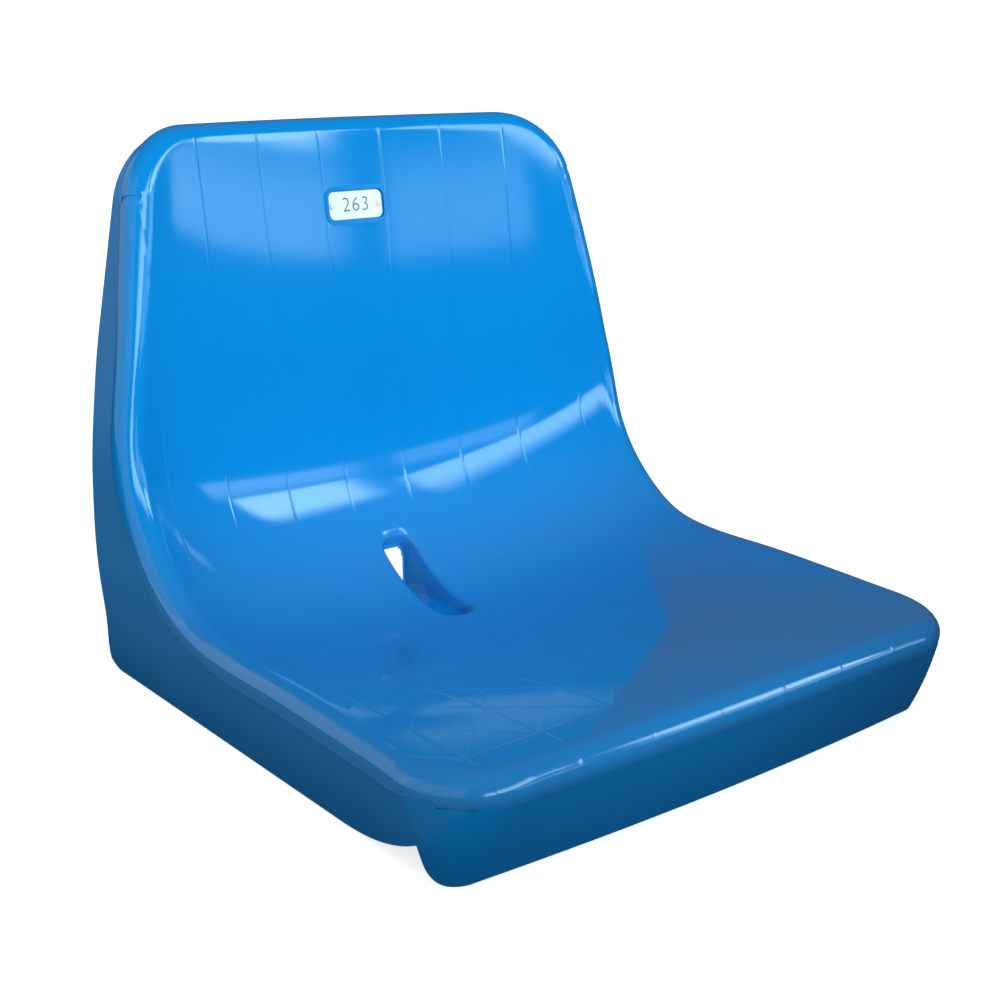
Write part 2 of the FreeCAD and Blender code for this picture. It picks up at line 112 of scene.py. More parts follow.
def side_view(low_y, low_z, rise, bend, lean):
    points = []
    start = FRONT - MARGIN
    for i in range(PAN_POINTS):
        y = start + (low_y - start) * i / PAN_POINTS
        wave = (1 - math.cos(math.pi * (low_y - y) / PAN_WAVE)) / 2
        points.append((y, low_z + rise * wave))
    for i in range(BEND_POINTS):
        turn = math.radians(90.0 * i / BEND_POINTS)
        points.append((low_y + bend * math.sin(turn), low_z + bend - bend * math.cos(turn)))
    for i in range(BACK_POINTS):
        climb = (TOP + MARGIN - low_z - bend) * i / (BACK_POINTS - 1)
        points.append((low_y + bend + climb * climb / (2 * lean), low_z + bend + climb))
    return np.array(points)


middle_line = side_view(REAR - 156, 43.0, 35.0, 119.0, 1190.0)
rim_line = side_view(REAR - 198, 82.0, -9.6, 120.0, 1357.0)
print("middle line from", middle_line[0], "to", middle_line[-1])

# %% [markdown]
# ## A curve through the points
# A thin batten bent over nails takes one smooth line, and a cubic spline does the same with numbers.
# The CAD model uses the same kind of curve, so skin and solid agree between the points too.


# %% A smooth curve through points
def smooth_through(knots, values):
    count = len(knots)
    step = np.diff(knots)
    left = np.zeros((count, count))
    right = np.zeros((count, values.shape[1]))
    for i in range(1, count - 1):
        left[i, i - 1:i + 2] = step[i - 1], 2 * (step[i - 1] + step[i]), step[i]
        slope_after = (values[i + 1] - values[i]) / step[i]
        slope_before = (values[i] - values[i - 1]) / step[i - 1]
        right[i] = 6 * (slope_after - slope_before)
    left[0, :3] = step[1], -(step[0] + step[1]), step[0]
    left[-1, -3:] = step[-1], -(step[-2] + step[-1]), step[-2]
    bend = np.linalg.solve(left, right)

    def at(t):
        i = np.clip(np.searchsorted(knots, t, side="right") - 1, 0, count - 2)
        a = (knots[i + 1] - t)[..., None]
        b = (t - knots[i])[..., None]
        h = step[i][..., None]
        curved = (bend[i] * a ** 3 + bend[i + 1] * b ** 3) / (6 * h)
        before = (values[i] / h - bend[i] * h / 6) * a
        after = (values[i + 1] / h - bend[i + 1] * h / 6) * b
        return curved + before + after

    return at


print("curve tool ready")

# %% [markdown]
# ## The face between the two lines
# Across the seat the face blends from the middle line to the rim line, flat in the middle and steeper
# near the edge. A place on it needs two numbers: how far along the seat, and how far to the side.

# %% The face as a surface
NUDGE = 0.5


def steps_along(line):
    return np.linalg.norm(np.diff(line, axis=0), axis=1)


spans = steps_along(middle_line) + steps_along(rim_line)
travel = np.concatenate([[0.0], np.cumsum(spans / 2)])
LENGTH = travel[-1]
middle_at = smooth_through(travel, middle_line)
rim_at = smooth_through(travel, rim_line)


def face_point(t, x):
    q = (x / FACE_HALF) ** 2
    blend = (FLAT_SHARE * q + (1 - FLAT_SHARE) * q ** 3)[..., None]
    side = middle_at(t) * (1 - blend) + rim_at(t) * blend
    return np.concatenate([x[..., None], side], axis=-1)


def face_normal(t, x):
    along = face_point(t + NUDGE, x) - face_point(t - NUDGE, x)
    across = face_point(t, x + NUDGE) - face_point(t, x - NUDGE)
    normal = np.cross(across, along)
    return normal / np.linalg.norm(normal, axis=-1, keepdims=True)


print("face length along the middle: %.0f mm" % LENGTH)

# %% [markdown]
# ## The outline
# The wall that hangs from the rim is another surface: upright sides that draw in toward the foot,
# a taper toward the round top corners, and an apron that slants forward with a corner that is tight
# at the foot. A function says how far a point is outside it.

# %% The wall as a distance
WALL_NUDGE = 0.25


def half_width_at(z):
    foot_arc = (FOOT_TURN ** 2 + FOOT_INSET ** 2) / (2 * FOOT_INSET)
    width = np.full(z.shape, HALF_WIDTH)
    below = HALF_WIDTH - foot_arc + np.sqrt(np.maximum(foot_arc ** 2 - (FOOT_TURN - z) ** 2, 1))
    width = np.where(z < FOOT_TURN, below, width)
    swept = HALF_WIDTH - SWEEP + np.sqrt(np.maximum(SWEEP ** 2 - (z - SIDE_TURN) ** 2, 1))
    width = np.where(z > SIDE_TURN, swept, width)
    end_z = SIDE_TURN + SWEEP * math.sin(TAPER)
    end_x = HALF_WIDTH - SWEEP * (1 - math.cos(TAPER))
    return np.where(z > end_z, end_x - (z - end_z) * math.tan(TAPER), width)


corner_z = TOP - TOP_CORNER
corner_x = float(half_width_at(np.array(corner_z))) - TOP_CORNER / math.cos(TAPER)


def outside_by(p):
    x, y, z = np.abs(p[..., 0]), p[..., 1], p[..., 2]
    half = half_width_at(z)
    apron_y = FRONT + LIP_SETBACK - APRON_SLANT * z + APRON_BOW * (x / HALF_WIDTH) ** 2
    corner = CORNER_FOOT + CORNER_RISE * z
    a = x - (half - corner)
    b = apron_y + corner - y
    rounded = np.hypot(np.maximum(a, 0), np.maximum(b, 0)) - corner
    plan = np.where((a > 0) & (b > 0), rounded, np.maximum(x - half, apron_y - y))
    u, w = x - corner_x, z - corner_z
    in_corner = (u > 0) & (w * math.cos(TAPER) > u * math.sin(TAPER))
    crown = np.where(in_corner, np.hypot(u, w) - TOP_CORNER, z - TOP)
    return np.maximum(plan, crown)


def wall_normal(p):
    slope = np.zeros_like(p)
    for k in range(3):
        step = np.zeros(3)
        step[k] = WALL_NUDGE
        slope[..., k] = outside_by(p + step) - outside_by(p - step)
    return slope / np.linalg.norm(slope, axis=-1, keepdims=True)


print("foot half width %.1f mm, top corner centre (%.1f, %.1f)" % (
    float(half_width_at(np.array(0.0))), corner_x, corner_z))

# %% [markdown]
# ## The rolled rim
# The rim is a quarter roll of one radius that touches both face and wall. A ball of that radius,
# rolled along the inside of the edge, gives the two lines where it touches and the arc between.
# This is what a fillet tool does. Doing it by numbers gives clean rings of faces for the gloss.
# Rays go out from the middle of the face, and each is halved until the ball just meets the wall.

# %% Roll the ball
RAYS = 1441
REACH = 520.0
END_GAP = 2
HALVINGS = 40


def ball_at(t, x):
    centre = face_point(t, x) - ROLL * face_normal(t, x)
    out = wall_normal(centre)
    return centre, out


def roll_contacts(rays):
    start = LENGTH * 0.5
    angle = np.linspace(-math.pi, 0, rays)
    dt, dx = np.cos(angle), -np.sin(angle)
    low = np.zeros(rays)
    high = np.minimum(REACH, (start - END_GAP) / np.maximum(np.abs(dt), 1e-6))
    for _ in range(HALVINGS):
        mid = (low + high) / 2
        centre, out = ball_at(start + dt * mid, dx * mid)
        inside = outside_by(centre + ROLL * out) < 0
        low = np.where(inside, mid, low)
        high = np.where(inside, high, mid)
    return start + dt * low, dx * low


contact_t, contact_x = roll_contacts(RAYS)
print("roll touches the face from t %.0f to %.0f, x up to %.1f" % (
    contact_t[0], contact_t[-1], contact_x.max()))

# %% [markdown]
# ## A grid for the face
# A gloss shows every wobble, so the face is a grid of four-sided faces that follows the rim, with
# its four corners at the middle of the four round corners. The grid is closer near the plate and
# the drain, where detail is cut into it. Each stop is a place and the cell size up to it, as shares.

# %% Where the grid lines go
SIDE_WEIGHT = 0.62


def spread(stops):
    marks = [stops[0][0]]
    for (a, _), (b, cell) in zip(stops[:-1], stops[1:]):
        count = max(1, int(round((b - a) / cell)))
        marks.extend(list(a + (b - a) * np.arange(1, count + 1) / count))
    return np.array(marks)


across = spread([(0.0, 0), (0.11, 0.0046), (0.165, 0.0055), (0.30, 0.011), (1.0, 0.0185)])
across = np.concatenate([-across[:0:-1], across])
top_corner = int(np.argmax(contact_t / LENGTH + contact_x / HALF_WIDTH * SIDE_WEIGHT))
low_corner = int(np.argmax(-contact_t / LENGTH + contact_x / HALF_WIDTH * SIDE_WEIGHT))
along = spread([
    (0.0, 0), (0.40, 0.0062), (0.43, 0.004), (0.60, 0.0019), (0.64, 0.004), (0.82, 0.0062),
    (0.86, 0.0022), (0.93, 0.0022), (1.0, 0.006),
])
print("grid %d by %d, corners at x %.0f and %.0f" % (
    len(across), len(along), contact_x[low_corner], contact_x[top_corner]))

# %% [markdown]
# ## Stretch the grid over the face
# The four sides of the grid are laid on the line where the roll touches. The inside is the blend of
# the sides, as a net pulled to a frame, so lines near the rim run along it and stay even.


# %% The grid in the face's own coordinates
def side_line(first, last, shares, key):
    values = (contact_t, contact_x)[key][first:last + 1]
    order = np.argsort(values)
    wanted = values[order][0] + (values[order][-1] - values[order][0]) * shares
    pair = []
    for line in (contact_t, contact_x):
        pair.append(np.interp(wanted, values[order], line[first:last + 1][order]))
    return np.stack(pair, axis=-1)


right = side_line(low_corner, top_corner, along, 0)
left = right * np.array([1, -1])
both_sides = np.stack([np.ones(len(across)), np.sign(across)], axis=-1)
bottom = side_line(0, low_corner, np.abs(across), 1) * both_sides
top = side_line(top_corner, len(contact_x) - 1, np.abs(across), 1) * both_sides
u = ((across + 1) / 2)[None, :, None]
v = along[:, None, None]
blended = left[:, None] * (1 - u) + right[:, None] * u + bottom[None] * (1 - v) + top[None] * v
corners = (left[0] * (1 - u) + right[0] * u) * (1 - v) + (left[-1] * (1 - u) + right[-1] * u) * v
grid_tx = blended - corners
face_grid = face_point(grid_tx[..., 0], grid_tx[..., 1])
all_points = face_grid.reshape(-1, 3)
print("face spans", all_points.min(0).round(1), all_points.max(0).round(1))

# %% [markdown]
# ## Helpers
# Small tools for work that comes back: pick one object, take faces off, join two meshes, give a
# finish, and turn a grid of points into a mesh of four-sided faces.


# %% Helpers for making meshes
def only(obj):
    bpy.ops.object.select_all(action="DESELECT")
    obj.select_set(True)
    bpy.context.view_layer.objects.active = obj


def unpick_faces(obj):
    only(obj)
    bpy.ops.object.mode_set(mode="EDIT")
    bpy.ops.mesh.select_mode(type="FACE")
    bpy.ops.mesh.select_all(action="DESELECT")
    bpy.ops.object.mode_set(mode="OBJECT")


def delete_faces(obj, flags):
    obj.data.polygons.foreach_set("select", flags)
    bpy.ops.object.mode_set(mode="EDIT")
    bpy.ops.mesh.delete(type="FACE")
    bpy.ops.object.mode_set(mode="OBJECT")


def join_into(whole, part):
    bpy.ops.object.select_all(action="DESELECT")
    part.select_set(True)
    whole.select_set(True)
    bpy.context.view_layer.objects.active = whole
    bpy.ops.object.join()


def give_finish(obj, finish):
    obj.data.materials.clear()
    obj.data.materials.append(finish)


def lattice(name, points):
    rows, columns = points.shape[:2]
    bpy.ops.object.select_all(action="DESELECT")
    bpy.ops.mesh.primitive_grid_add(x_subdivisions=columns - 1, y_subdivisions=rows - 1, size=1)
    obj = bpy.context.object
    obj.name = name
    obj.data.vertices.foreach_set("co", (points * MM).reshape(-1))
    obj.data.update()
    return obj


print("helpers ready")

# %% [markdown]
# ## The drain
# Rain runs out through a slot where pan and back meet. Its edges are well rounded, so the face seems
# to pour into it. Each grid point near the slot is pushed back along the normal by a quarter round,
# and inside the slot it drops away. The bottom of the drop is then removed, which opens the hole.

# %% Push the drain in
DRAIN_HALF = 13.0
DRAIN_LOW = REAR - 157.0 + DRAIN_HALF
DRAIN_TOP = 80.0
DRAIN_CORNER = 8.0
DRAIN_FLOOR = 34.0
EDGE_ROUND = 7.0
DRAIN_EXIT = REAR - 62.0
PLUNGE = 90
UNDER_FLOOR = 1.0
WALL = 3.5
LEAST_SLOPE = 0.05
DRAIN_BEHIND = 55
DRAIN_BELOW = 120
OPEN_DEPTH = 1.7
NOT_ARCHED = -99


def drain_inside(p):
    x, y, z = p[..., 0], p[..., 1], p[..., 2]
    round_end = np.hypot(x, np.minimum(y - DRAIN_LOW, 0)) - DRAIN_HALF
    ceiling = z - DRAIN_TOP
    u = np.maximum(np.abs(x) - (DRAIN_HALF - DRAIN_CORNER), 0)
    w = np.maximum(z - (DRAIN_TOP - DRAIN_CORNER), 0)
    arched = np.hypot(u, w) - DRAIN_CORNER
    arched = np.where((u > 0) & (w > 0), arched, NOT_ARCHED)
    return -np.maximum(np.maximum(round_end, ceiling), arched)


def sunk(points, normals):
    depth_in = drain_inside(points)
    lip = np.clip(depth_in + EDGE_ROUND, 0, EDGE_ROUND)
    drop = EDGE_ROUND - np.sqrt(EDGE_ROUND ** 2 - lip ** 2)
    drop = np.where(depth_in > 0, EDGE_ROUND + depth_in * PLUNGE, drop)
    to_exit = (DRAIN_EXIT - points[..., 1]) / np.maximum(-normals[..., 1], LEAST_SLOPE)
    above_floor = points[..., 2] - DRAIN_FLOOR + UNDER_FLOOR
    to_floor = above_floor / np.maximum(normals[..., 2], LEAST_SLOPE)
    most = np.maximum(np.minimum(to_exit, to_floor), EDGE_ROUND + WALL)
    near = (points[..., 1] > DRAIN_BEHIND) & (points[..., 2] < DRAIN_BELOW)
    drop = np.where(near, np.minimum(drop, most), 0)
    return points - normals * drop[..., None], drop, near & (depth_in > OPEN_DEPTH)


face_normals = face_normal(grid_tx[..., 0], grid_tx[..., 1])
sunk_grid, drop_grid, through = sunk(face_grid, face_normals)
print("grid points pushed in:", int((drop_grid > 0.01).sum()))

# %% [markdown]
# ## Skin of face and rim
# The rim is a second grid that starts on the outer line of the first one. Its rings swing from the
# face's normal to the wall's normal, round the centre of the rolling ball.

# %% Rings of the roll
ROLL_RINGS = 13
LAST_RING = ROLL_RINGS - 1
edge_tx = np.concatenate([
    grid_tx[0, :-1], grid_tx[:-1, -1], grid_tx[-1, :0:-1], grid_tx[:0:-1, 0],
])
ball, ball_out = ball_at(edge_tx[:, 0], edge_tx[:, 1])
up = face_normal(edge_tx[:, 0], edge_tx[:, 1])
turn = np.arccos(np.clip((up * ball_out).sum(-1, keepdims=True), -0.999, 0.999))
rings = []
for share in np.linspace(0, 1, ROLL_RINGS):
    arm = (np.sin((1 - share) * turn) * up + np.sin(share * turn) * ball_out) / np.sin(turn)
    rings.append(ball + ROLL * arm)
tangent = np.roll(rings[-1], -1, axis=0) - np.roll(rings[-1], 1, axis=0)
tangent /= np.linalg.norm(tangent, axis=-1, keepdims=True)
down = np.cross(ball_out, tangent)
down *= np.where((down * up).sum(-1, keepdims=True) > 0, -1, 1)
print("roll turns by %.0f to %.0f degrees" % (math.degrees(turn.min()), math.degrees(turn.max())))

# %% [markdown]
# ## Meet the wall where it really runs
# At the corners of the front lip the solid's wall stands a little outside the plain formula. A gap
# there shows as a dark crack, as a badly fitted cover would. Each place on the lowest ring feels for
# the wall from outside, the distances are evened out along the rim, and the rings move by them.
# Toward the back the correction fades to nothing, because skin and wall already meet there.

# %% Move the rings to the wall
FEEL_FROM = 6
FEEL_REACH = 0.012
MOST_SHIFT = 4
EVEN_OVER = 15
FADE_START, FADE_LENGTH = -90, 50
depsgraph = bpy.context.evaluated_depsgraph_get()
wall_tree = BVHTree.FromObject(frame["nodes"]["seat_shell"], depsgraph)
shift = np.zeros(len(ball))
for i, (place, out) in enumerate(zip(rings[LAST_RING], ball_out)):
    hit = wall_tree.ray_cast(Vector((place + FEEL_FROM * out) * MM), Vector(-out), FEEL_REACH)
    if hit[0] is not None:
        shift[i] = np.clip(FEEL_FROM - hit[3] / MM, -MOST_SHIFT, MOST_SHIFT)
window = np.hanning(EVEN_OVER)[1:-1]
wrap = len(window) // 2
wrapped = np.concatenate([shift[-wrap:], shift, shift[:wrap]])
shift = np.convolve(wrapped, window / window.sum(), mode="valid")
shift = shift * np.clip((FADE_START - ball[:, 1]) / FADE_LENGTH, 0, 1)
for k in range(ROLL_RINGS):
    share = 1 - (1 - k / LAST_RING) ** 2
    rings[k] = rings[k] + ball_out * (shift * share)[:, None]
print("rings moved by %.2f to %.2f mm to meet the wall" % (shift.min(), shift.max()))

# %% [markdown]
# ## The fine step under the roll
# Along the pan's sides the mould leaves a step of less than half a millimetre, where the skirt's
# texture begins. Five more rings make it. They hug the wall, and the last one dives just under it,
# so that skin and wall overlap without a gap.

# %% Rings of the step
STEP_DEPTH = 0.45
SIDE_START, SIDE_FADE = 205, 12
REAR_END, REAR_FADE = 75, 70
FRONT_END, FRONT_FADE = -185, 25
STEP_PROFILE = ((0.8, 0.6), (1.6, 1.0), (2.1, 0.9), (2.35, 0.0), (2.8, -0.5))
PROUD, TUCKED, TUCK_BELOW = 0.03, -0.12, 2.5
foot_x, foot_y = np.abs(rings[-1][:, 0]), rings[-1][:, 1]
on_side = np.clip((foot_x - SIDE_START) / SIDE_FADE, 0, 1)
ahead_of_back = np.clip((REAR_END - foot_y) / REAR_FADE, 0, 1)
behind_lip = np.clip((foot_y - FRONT_END) / FRONT_FADE, 0, 1)
step_out = (STEP_DEPTH * on_side * (ahead_of_back * behind_lip))[:, None]
for below, out in STEP_PROFILE:
    stand = step_out * out + (PROUD if below < TUCK_BELOW else TUCKED)
    rings.append(rings[LAST_RING] + down * below + ball_out * stand)
band = np.stack(rings, axis=0)
band = np.concatenate([band, band[:, :1]], axis=1)
print("band of %d rings, %d points each" % band.shape[:2])

# %% [markdown]
# ## Build the skin
# Both grids become meshes. The bottom of the drain and the place of the plate are opened, then rim
# and face are welded along their shared line. The face without the drain is kept as a ruler.

# %% Build and join
WELD = 0.00002
skin = lattice("seat_skin", sunk_grid)
rim = lattice("rim_roll", band)
flat_face = lattice("flat_face", face_grid)
beside_plate = np.abs(face_grid[..., 0]) < PLATE_HOLE[0]
level_with_plate = np.abs(face_grid[..., 2] - PLATE_HEIGHT) < PLATE_HOLE[1]
open_at = (through | (beside_plate & level_with_plate)).reshape(-1)
unpick_faces(skin)
delete_faces(skin, [all(open_at[i] for i in face.vertices) for face in skin.data.polygons])
join_into(skin, rim)
bpy.ops.object.mode_set(mode="EDIT")
bpy.ops.mesh.select_all(action="SELECT")
bpy.ops.mesh.remove_doubles(threshold=WELD)
bpy.ops.mesh.normals_make_consistent(inside=False)
bpy.ops.object.mode_set(mode="OBJECT")
print("skin has %d faces" % len(skin.data.polygons))

# %% [markdown]
# ## Turn the skin the right way
# A mesh has an inside and an outside. One face in the pan is looked at, and all are flipped if it
# points down.

# %% Which way does the skin face
IN_THE_PAN = Vector((0.05, 0.05, 0.045))
middle = min(skin.data.polygons, key=lambda p: (p.center - IN_THE_PAN).length)
if middle.normal.z < 0:
    bpy.ops.object.mode_set(mode="EDIT")
    bpy.ops.mesh.select_all(action="SELECT")
    bpy.ops.mesh.flip_normals()
    bpy.ops.object.mode_set(mode="OBJECT")
print("face normal in the pan points up:", middle.normal.z > 0)

# %% [markdown]
# ## The underside and the walls
# Ribs, bosses, chute, skirts and the plate's frame come straight from the CAD solid. A copy is merged
# into one mesh. Its stored normals are dropped, because they draw teeth along the ribs.

# %% Copy the moulding
CAD_WELD = 0.00001
source = frame["nodes"]["seat_shell"]
hull = source.copy()
hull.data = source.data.copy()
hull.name = "seat_walls"
for collection in source.users_collection:
    collection.objects.link(hull)
only(hull)
bpy.ops.object.parent_clear(type="CLEAR_KEEP_TRANSFORM")
bpy.ops.mesh.customdata_custom_splitnormals_clear()
bpy.ops.object.mode_set(mode="EDIT")
bpy.ops.mesh.select_all(action="SELECT")
bpy.ops.mesh.remove_doubles(threshold=CAD_WELD)
bpy.ops.mesh.select_all(action="DESELECT")
bpy.ops.object.mode_set(mode="OBJECT")
depsgraph = bpy.context.evaluated_depsgraph_get()
trees = [BVHTree.FromObject(flat_face, depsgraph), BVHTree.FromObject(skin, depsgraph)]
bpy.data.objects.remove(flat_face)
print("moulding copied, %d faces" % len(hull.data.polygons))

# %% [markdown]
# ## Take off the doubled side
# Faces of the solid that lie on the new skin would flicker through it. A face goes when its middle
# and all its corners are within about two millimetres of the skin. Distance past the skin's edge
# counts twice, so that walls just beyond the rim stay. Faces in the drain's slot go too, and the
# frame that holds the plate stays.

# %% Remove covered faces
SEARCH = 0.004
SAME_WAY = 0.6
MIDDLE_NEAR = 0.0019
CORNER_NEAR = 0.0021
NOT_FOUND = 9.0
SLOT_Y, SLOT_Z = (60, 182), (30, DRAIN_TOP + EDGE_ROUND + 1)
SLOT_SIDE, FACES_UP = DRAIN_HALF + 0.3, 0.9
FRAME_BEHIND = 150


def covered_by_skin(spot, normal=None):
    gaps = []
    for tree in trees:
        place, facing, index, distance = tree.find_nearest(spot, SEARCH)
        if place is not None and (normal is None or facing.dot(normal) > SAME_WAY):
            offset = spot - place
            past_the_edge = (offset - facing * offset.dot(facing)).length
            gaps.append(distance + past_the_edge)
    return min(gaps, default=NOT_FOUND)


def in_slot(spot, normal):
    x, y, z = (value / MM for value in spot)
    level = SLOT_Y[0] < y < SLOT_Y[1] and SLOT_Z[0] < z < SLOT_Z[1]
    return level and abs(x) < SLOT_SIDE and normal.z < FACES_UP


def in_frame(spot):
    x, y, z = (value / MM for value in spot)
    beside = abs(x) < PLATE_FRAME[0] and abs(z - PLATE_HEIGHT) < PLATE_FRAME[1]
    return y > FRAME_BEHIND and beside


near_skin = [covered_by_skin(vertex.co) for vertex in hull.data.vertices]
flags = []
gap = []
for polygon in hull.data.polygons:
    distance = covered_by_skin(polygon.center, polygon.normal)
    covered = distance < MIDDLE_NEAR and not in_frame(polygon.center)
    covered = covered and all(near_skin[i] < CORNER_NEAR for i in polygon.vertices)
    flags.append(covered or in_slot(polygon.center, polygon.normal))
    if covered:
        gap.append(distance)
delete_faces(hull, flags)
print("covered CAD faces %d of %d, mean gap %.3f mm, most %.3f mm" % (
    sum(flags), len(flags), 1000 * sum(gap) / max(len(gap), 1), 1000 * max(gap + [0])))

# %% [markdown]
# ## Tuck the walls under the roll
# Where skin and wall overlap, the wall gives way: its nearest vertices move a third of a millimetre
# inward, as a skirt is tucked behind a hem.

# %% Tuck the walls in
TUCK_REACH = 0.0012
TUCK_DEPTH = 0.0003
tucked = 0
for vertex in hull.data.vertices:
    place, facing, index, distance = trees[1].find_nearest(vertex.co, TUCK_REACH)
    if place is not None and not in_frame(vertex.co):
        vertex.co = vertex.co - facing * TUCK_DEPTH
        tucked += 1
hull.data.update()
print("vertices tucked in:", tucked)

# %% [markdown]
# ## Finishes
# The seat's plastic is one colour, but it reads as two: the face comes from a polished mould and the
# skirts from an etched one. Small node groups hold what both share.


# %% Tools for nodes
def node(tree, kind, **settings):
    made = tree.nodes.new(kind)
    for key, value in settings.items():
        setattr(made, key, value)
    return made


def math_node(tree, operation, *values):
    made = node(tree, "ShaderNodeMath", operation=operation)
    for slot, value in enumerate(values):
        if isinstance(value, (int, float)):
            made.inputs[slot].default_value = value
        else:
            tree.links.new(value, made.inputs[slot])
    return made.outputs[0]


def axes_of(tree, space="Object"):
    place = node(tree, "ShaderNodeTexCoord")
    parts = node(tree, "ShaderNodeSeparateXYZ")
    tree.links.new(place.outputs[space], parts.inputs[0])
    return parts.outputs


def linear(red, green, blue):
    parts = []
    for value in (red, green, blue):
        value /= 255.0
        parts.append(value / 12.92 if value <= 0.04045 else ((value + 0.055) / 1.055) ** 2.4)
    return (*parts, 1.0)


def ridge(tree, distance, width):
    share = math_node(tree, "DIVIDE", distance, width)
    fall = math_node(tree, "MULTIPLY", math_node(tree, "POWER", share, 2.0), -1.0)
    return math_node(tree, "EXPONENT", fall)


print("pan blue as linear light:", [round(v, 3) for v in linear(20, 115, 205)[:3]])

# %% [markdown]
# ## Marks of the ribs
# Where a rib meets the back of the face, the thick plastic shrinks as it cools and leaves a faint
# line on the glossy side. The marks are straight over the ribs, diagonal over the lattice and round
# over the boss rings. They are finer than any mesh should be, so they are relief in the finish.

# %% Rib marks as a node group
MARK_WIDTH = 0.0008
PITCH = 0.055
RIB_FIELD = 0.2
CROSS_RIB = 0.188
LATTICE_Y = (-0.188, -0.076)
LATTICE_SHARE = 0.6
DIAGONAL, HALF_DIAGONAL = 0.70711, 0.35355
BOSSES = ((-0.130, -0.080), (0.130, -0.080), (-0.090, 0.017), (0.090, 0.017))
BOSS_RING = 0.028
RINGS_BEFORE = 0.09
marks = bpy.data.node_groups.new("RibMarks", "ShaderNodeTree")
marks.interface.new_socket("Height", in_out="OUTPUT", socket_type="NodeSocketFloat")
wide = marks.interface.new_socket("Width", in_out="INPUT", socket_type="NodeSocketFloat")
wide.default_value = MARK_WIDTH
enter = node(marks, "NodeGroupInput")
leave = node(marks, "NodeGroupOutput")
x, y, z = axes_of(marks)
width = enter.outputs["Width"]


def mark(operation, *values):
    return math_node(marks, operation, *values)


def comb(along, pitch, middle):
    off = mark("ABSOLUTE", mark("SUBTRACT", mark("PINGPONG", along, pitch), middle))
    return ridge(marks, off, width)


# %% Straight marks and the lattice
in_field = mark("LESS_THAN", mark("ABSOLUTE", x), RIB_FIELD)
lines = mark("MULTIPLY", comb(x, PITCH, PITCH / 2), in_field)
from_cross = mark("ADD", y, CROSS_RIB)
total = mark("MAXIMUM", lines, ridge(marks, mark("ABSOLUTE", from_cross), width))
behind_cross = mark("GREATER_THAN", y, LATTICE_Y[0])
in_lattice = mark("MULTIPLY", behind_cross, mark("LESS_THAN", y, LATTICE_Y[1]))
for sign in (1, -1):
    slanted = mark("MULTIPLY", mark("ADD", x, mark("MULTIPLY", from_cross, sign)), DIAGONAL)
    diagonal = comb(slanted, PITCH * DIAGONAL, PITCH * HALF_DIAGONAL)
    faint = mark("MULTIPLY", mark("MULTIPLY", diagonal, in_lattice), LATTICE_SHARE)
    total = mark("MAXIMUM", total, faint)
print("lattice mark every %.0f mm" % (PITCH * 1000 * DIAGONAL))

# %% Round marks over the bosses
on_low = mark("LESS_THAN", y, RINGS_BEFORE)
for boss_x, boss_y in BOSSES:
    dx = mark("POWER", mark("SUBTRACT", x, boss_x), 2.0)
    dy = mark("POWER", mark("SUBTRACT", y, boss_y), 2.0)
    radius = mark("SQRT", mark("ADD", dx, dy))
    circle = ridge(marks, mark("ABSOLUTE", mark("SUBTRACT", radius, BOSS_RING)), width)
    total = mark("MAXIMUM", total, mark("MULTIPLY", circle, on_low))
marks.links.new(total, leave.inputs["Height"])
print("rib marks every %.0f mm" % (PITCH * 1000))

# %% [markdown]
# ## Grain of the mould
# No moulded face is perfectly even. A fine noise gives relief, and a broad one moves roughness and
# shade a little. Every finish below uses this one group with its own numbers.

# %% Grain as a node group
grain = bpy.data.node_groups.new("MouldGrain", "ShaderNodeTree")
for socket, value in (("Scale", 900.0), ("Low", 0.2), ("High", 0.4)):
    made = grain.interface.new_socket(socket, in_out="INPUT", socket_type="NodeSocketFloat")
    made.default_value = value
for socket in ("Height", "Roughness", "Shade"):
    grain.interface.new_socket(socket, in_out="OUTPUT", socket_type="NodeSocketFloat")
enter = node(grain, "NodeGroupInput")
leave = node(grain, "NodeGroupOutput")
place = node(grain, "ShaderNodeTexCoord")
fine = node(grain, "ShaderNodeTexNoise")
fine.inputs["Detail"].default_value = 3.0
broad = node(grain, "ShaderNodeTexNoise")
broad.inputs["Scale"].default_value = 14.0
broad.inputs["Detail"].default_value = 5.0
for noise in (fine, broad):
    grain.links.new(place.outputs["Object"], noise.inputs["Vector"])
grain.links.new(enter.outputs["Scale"], fine.inputs["Scale"])
band_width = math_node(grain, "SUBTRACT", enter.outputs["High"], enter.outputs["Low"])
lifted = math_node(grain, "MULTIPLY", broad.outputs[0], band_width)
rough = math_node(grain, "ADD", enter.outputs["Low"], lifted)
grain.links.new(fine.outputs[0], leave.inputs["Height"])
grain.links.new(rough, leave.inputs["Roughness"])
grain.links.new(broad.outputs[0], leave.inputs["Shade"])
print("grain group ready")

# %% [markdown]
# ## One recipe for every finish
# A finish is two near shades, a range of roughness, a grain size in turns per metre and a depth of
# relief in metres. The rib marks are added only where the face is polished.


# %% One function for every finish
def add_bump(tree, height, distance, under=None):
    bump = node(tree, "ShaderNodeBump")
    bump.inputs["Strength"].default_value = 1.0
    bump.inputs["Distance"].default_value = distance
    tree.links.new(height, bump.inputs["Height"])
    if under is not None:
        tree.links.new(under, bump.inputs["Normal"])
    return bump.outputs[0]


